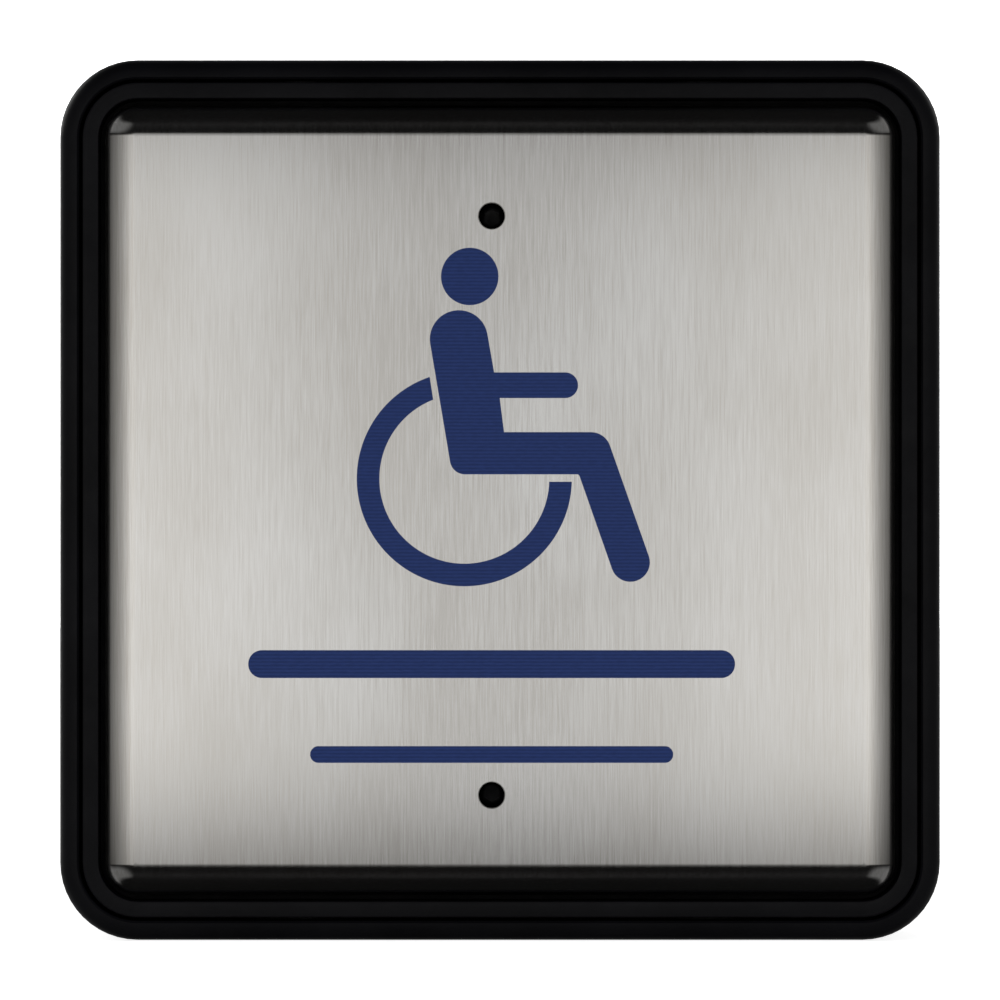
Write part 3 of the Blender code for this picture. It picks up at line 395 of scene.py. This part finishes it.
def push_plate():
    """The pressed stainless pan. Its front lies back by the ink's thickness, so the ink fits the box."""
    front = FACE_DEPTH - INK
    sheet, bend, corner = 1.5 * MM, 4.2 * MM, 4.5 * MM
    bend_steps = 16
    flat = (FACE_HALF - bend - 0.4 * MM, corner - bend + 0.1 * MM)  # just inside where the bends begin
    skirt = -FACE_HIGH.y
    sections = [(*flat, front)]
    turns = [math.radians(90) * step / bend_steps for step in range(bend_steps + 1)]
    for radius, angles in ((bend, turns), (bend - sheet, turns[::-1])):
        for angle in angles:
            out, up = radius * math.sin(angle), radius * math.cos(angle)
            sections.append((FACE_HALF - bend + out, corner - bend + out, front - bend + up))
        if radius == bend:
            sections.append((FACE_HALF, corner, skirt))
            sections.append((FACE_HALF - sheet, corner - sheet, skirt))
    sections.append((*flat, front - sheet))
    pan = loft(sections)
    hole, chamfer, past = 1.85 * MM, 0.12 * MM, 1 * MM
    for centre in HOLES:
        profile = [
            (0, past),
            (hole + chamfer + past, past),
            (hole + chamfer, 0),
            (hole, -chamfer),
            (hole, -sheet - past),
            (0, -sheet - past),
        ]
        tool = turned([(radius, -front - y) for radius, y in profile])
        tool.transform(Matrix.Translation((centre.x, 0, centre.z)))
        pan = cut(pan, tool)
    return piece("push_plate_pan", pan, "stainless", "push_plate", ["face_plate"])


def printed(name, outlines):
    """Ink on the plate's front, in the shape of these (x, z) outlines."""
    return piece(name, prism(outlines, FACE_DEPTH, FACE_DEPTH - INK), "legend_blue", "push_plate")


def access_symbol():
    """A seated figure over an open wheel, in millimetres from the legend's middle."""
    figure = filleted(
        [
            (-9.52, 27.35, 4.15),
            (-1.32, 28.71, 4.15),
            (0.35, 19.15, 0),
            (12.42, 19.15, 1.84),
            (12.42, 15.46, 1.84),
            (1.16, 15.46, 0),
            (1.78, 10.56, 0),
            (16.33, 10.56, 2.9),
            (23.52, -9.87, 2.79),
            (18.23, -11.73, 2.79),
            (12.55, 4.49, 0.4),
            (-5.67, 4.49, 2.17),
        ]
    )
    head = arc((-3.15, 32.95), 4.13, 0, 354, 59)
    hub = (-3.93, 3.86)
    wheel = arc(hub, 15.47, -1.63, -251.2, 90) + arc(hub, 12.22, -248.5, -2.06, 90)
    shapes = (figure, head, wheel)
    outlines = [[(LEGEND.x + x * MM, LEGEND.z + z * MM) for x, z in shape] for shape in shapes]
    printed("access_symbol", outlines)


def legend_bars():
    """Two plain bars where the plate's lines of words would be."""
    bars = {"upper": (35 * MM, -22.8 * MM, 4 * MM), "lower": (26.1 * MM, -35.8 * MM, 2.4 * MM)}
    for name, (half, z, height) in bars.items():
        left, right = LEGEND.x - half, LEGEND.x + half
        low, high = LEGEND.z + z - height / 2, LEGEND.z + z + height / 2
        radius = 0.49 * height
        corners = ((left, high), (right, high), (right, low), (left, low))
        printed("legend_bar_" + name, [filleted([(*corner, radius) for corner in corners])])


def return_springs():
    """Each spring stands on its bushing, as a coil of round wire that rides with its CAD spring's body."""
    wire, turns, steps = 0.45 * MM, 5, 40
    closed_pitch = 1.15 * MM
    for corner in ("top_left", "top_right", "bottom_left", "bottom_right"):
        node = "return_spring_" + corner
        low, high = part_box(node)
        middle = (low + high) / 2
        mean = (high.x - low.x) / 2 - wire
        length = high.y - low.y
        rise = length - 2 * wire - 2 * closed_pitch
        points = []
        for step in range(turns * steps + 1):
            turn = step / steps
            open_turns = min(max(turn - 1, 0), turns - 2)
            height = wire + closed_pitch * (turn - open_turns) + rise * open_turns / (turns - 2)
            angle = math.tau * turn
            x, z = middle.x + mean * math.cos(angle), middle.z + mean * math.sin(angle)
            points.append((x, high.y - height, z))
        obj = piece("coil_" + corner, tube(points, wire), "spring_steel", BODY_OF[node], [node])
        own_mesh(obj)


# CAD nodes, shown as they are with smooth shading and finished materials


def smoothing_tree():
    """Merges a CAD mesh's split corners and shades it smooth, up to a sharp angle."""
    tree = bpy.data.node_groups.new("Smooth_by_angle", "GeometryNodeTree")
    tree.interface.new_socket("Mesh", in_out="INPUT", socket_type="NodeSocketGeometry")
    tree.interface.new_socket("Mesh", in_out="OUTPUT", socket_type="NodeSocketGeometry")

    def add(kind, **settings):
        made = tree.nodes.new(kind)
        for key, value in settings.items():
            setattr(made, key, value)
        return made

    bare = add("GeometryNodeRemoveAttribute")
    bare.inputs["Name"].default_value = "custom_normal"
    merged = add("GeometryNodeMergeByDistance")
    merged.inputs["Distance"].default_value = 0.0005 * MM
    angle = add("GeometryNodeInputMeshEdgeAngle")
    soft = add("FunctionNodeCompare", operation="LESS_EQUAL")
    soft.inputs["B"].default_value = SHARP_ANGLE
    faces = add("GeometryNodeSetShadeSmooth", domain="FACE")
    edges = add("GeometryNodeSetShadeSmooth", domain="EDGE")
    chain = [add("NodeGroupInput"), bare, merged, faces, edges, add("NodeGroupOutput")]
    for first, second in zip(chain, chain[1:]):
        tree.links.new(first.outputs[0], second.inputs[0])
    tree.links.new(angle.outputs["Unsigned Angle"], soft.inputs["A"])
    tree.links.new(soft.outputs["Result"], edges.inputs["Shade Smooth"])
    return tree


def finish_cad_nodes():
    tree = smoothing_tree()
    for part in frame["record"]["subparts"]:
        obj = NODES[part["node"]]
        obj.data.materials.clear()
        obj.data.materials.append(MATERIALS[part["material_slot"]])
        smooth = obj.modifiers.new("Smooth by angle", "NODES")
        smooth.node_group = tree
        normals = obj.modifiers.new("Flat faces stay flat", "WEIGHTED_NORMAL")
        normals.keep_sharp = True


finish_cad_nodes()
push_plate()
access_symbol()
legend_bars()
return_springs()


# Floor, backdrop, light and camera

BOX_LOW = cad_box[0]
FRONT = -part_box("back_box")[0].y


def plain(name, colour, glow):
    """Pale matt paint that also glows, so that it stays white."""
    paint = Surface(name, Roughness=0.8, Emission_Strength=glow)
    paint.colour(paint.noise(60 * MM, detail=3.0), [c * 0.98 for c in colour], colour)
    paint.shader.inputs["Emission Color"].default_value = (1, 1, 1, 1)
    return paint.material


def staged(name, body, material):
    mesh = bpy.data.meshes.new(name)
    body.to_mesh(mesh)
    body.free()
    mesh.materials.append(material)
    obj = bpy.data.objects.new(name, mesh)
    bpy.context.scene.collection.objects.link(obj)
    obj.visible_glossy = False
    return obj


def stage():
    """A pale floor under the box, and a white dome round everything that only the camera sees."""
    body = bmesh.new()
    level = Matrix.Translation((0, 0, BOX_LOW.z - 0.2 * MM))
    bmesh.ops.create_grid(body, x_segments=8, y_segments=8, size=4.0, matrix=level)
    staged("floor", body, plain("floor", (0.86, 0.86, 0.86), 0.85))
    body = bmesh.new()
    bmesh.ops.create_uvsphere(body, u_segments=64, v_segments=32, radius=3.9)
    bmesh.ops.reverse_faces(body, faces=body.faces)
    dome = staged("backdrop", body, plain("backdrop", (0.9, 0.9, 0.9), 1.1))
    dome.visible_diffuse = False
    dome.visible_shadow = False


def aimed(name, light, place, target=(0, 0, 0)):
    """A light at a place that faces a target, unseen by the camera."""
    obj = bpy.data.objects.new(name, light)
    obj.location = place
    obj.rotation_euler = (Vector(target) - Vector(place)).to_track_quat("-Z", "Y").to_euler()
    bpy.context.scene.collection.objects.link(obj)
    obj.visible_camera = False
    return obj


def softbox(name, place, size, radiance, target=(0, 0, 0)):
    """A rectangular area light, width by height, of this brightness."""
    light = bpy.data.lights.new(name, "AREA")
    light.shape = "RECTANGLE"
    light.size, light.size_y = size
    light.energy = radiance * math.pi * size[0] * size[1]
    return aimed(name, light, place, target)


def light_band():
    """A curved band of light round the front. It fades towards its ends, and dips behind the lens."""
    radius, low, high = 450 * MM, -90 * MM, 112 * MM
    reach, steps = math.radians(125), 60
    peak, decay = 1.57, math.radians(45)
    body = bmesh.new()
    columns = []
    for step in range(steps + 1):
        azimuth = reach * (2 * step / steps - 1)
        x, y = radius * math.sin(azimuth), -radius * math.cos(azimuth)
        columns.append([body.verts.new((x, y, z)) for z in (low, high)])
    for first, second in zip(columns, columns[1:]):
        body.faces.new((first[0], second[0], second[1], first[1]))
    glow = Surface("light_band", Roughness=1.0, Specular_IOR_Level=0.0)
    glow.shader.inputs["Base Color"].default_value = (0, 0, 0, 1)
    place = glow.node("TexCoord").outputs["Object"]
    x, y, z = glow.node("SeparateXYZ", {0: place}).outputs
    azimuth = glow.math("ABSOLUTE", glow.math("ARCTAN2", x, glow.math("MULTIPLY", y, -1.0)))
    drop = glow.math("MULTIPLY", z, -1.0)
    cool, warm = (0.975, 0.988, 1), (1, 0.98, 0.945)
    glow.colour(azimuth, cool, warm, 0.0, math.radians(12), "Emission Color")
    shape = glow.math("POWER", math.exp(-1), glow.math("DIVIDE", azimuth, decay))
    for soft in (
        glow.faded(azimuth, 0.0, math.radians(10), 0.37),  # the dip behind the lens
        glow.faded(z, -84 * MM, -44 * MM, 0.0),  # the lower edge
        glow.faded(drop, -104 * MM, -50 * MM, 0.0),  # the upper edge
        glow.faded(drop, -90 * MM, 40 * MM, 0.82),  # a little dimmer towards the top
    ):
        shape = glow.math("MULTIPLY", shape, soft)
    glow.link(glow.math("MULTIPLY", shape, peak), "Emission Strength")
    band = staged("light_band", body, glow.material)
    band.visible_glossy = True
    band.visible_camera = False
    band.visible_shadow = False


def lights():
    """A broad fill that gives no glint, and soft boxes behind the object to the left and right."""
    softbox("rear_left", (-0.9, 0.8, 0.35), (0.8, 0.8), 2.2)
    softbox("rear_right", (0.9, 0.9, 0.35), (0.8, 0.8), 1.0)
    fill = bpy.data.lights.new("fill", "SUN")
    fill.energy = 1.8
    fill.angle = math.radians(50)
    aimed("fill", fill, (0, -1.0, 0.5)).visible_glossy = False


def surroundings():
    """Reflections find it dark in front, above and below, and pale grey behind and on the diagonals."""
    darkest, behind, diagonal = 0.006, 0.3, 0.16
    world = bpy.data.worlds.new("studio")
    world.use_nodes = True
    sky = Nodes(world.node_tree)
    direction = sky.node("TexCoord").outputs["Generated"]
    x, y, z = sky.node("SeparateXYZ", {0: direction}).outputs
    slant = sky.faded(sky.math("ABSOLUTE", sky.math("MULTIPLY", x, z)), 0.06, 0.28, 0.0, diagonal)
    level = sky.faded(sky.math("ABSOLUTE", z), 0.62, 0.8, 1.0, 0.0)
    pale = sky.math("MULTIPLY", sky.math("ADD", sky.faded(y, 0.0, 0.9, 0.0, behind), slant), level)
    background = sky.tree.nodes["Background"].inputs
    sky.tree.links.new(sky.math("ADD", pale, darkest), background["Strength"])
    background["Color"].default_value = (1, 1, 1, 1)
    bpy.context.scene.world = world


def camera():
    """Square on to the plate from a distance, framed a little wider than the box."""
    view_width = 144.15 * MM
    data = bpy.data.cameras.new("camera")
    data.lens = 400
    data.sensor_width = 36
    distance = view_width * data.lens / data.sensor_width
    obj = bpy.data.objects.new("camera", data)
    obj.location = (0, -FRONT - distance, 0)
    obj.rotation_euler = (math.radians(90), 0, 0)
    data.clip_start, data.clip_end = 0.01, 50
    bpy.context.scene.collection.objects.link(obj)
    bpy.context.scene.camera = obj


stage()
light_band()
lights()
surroundings()
camera()
bpy.context.scene.view_settings.view_transform = "Standard"

bpy.context.view_layer.update()
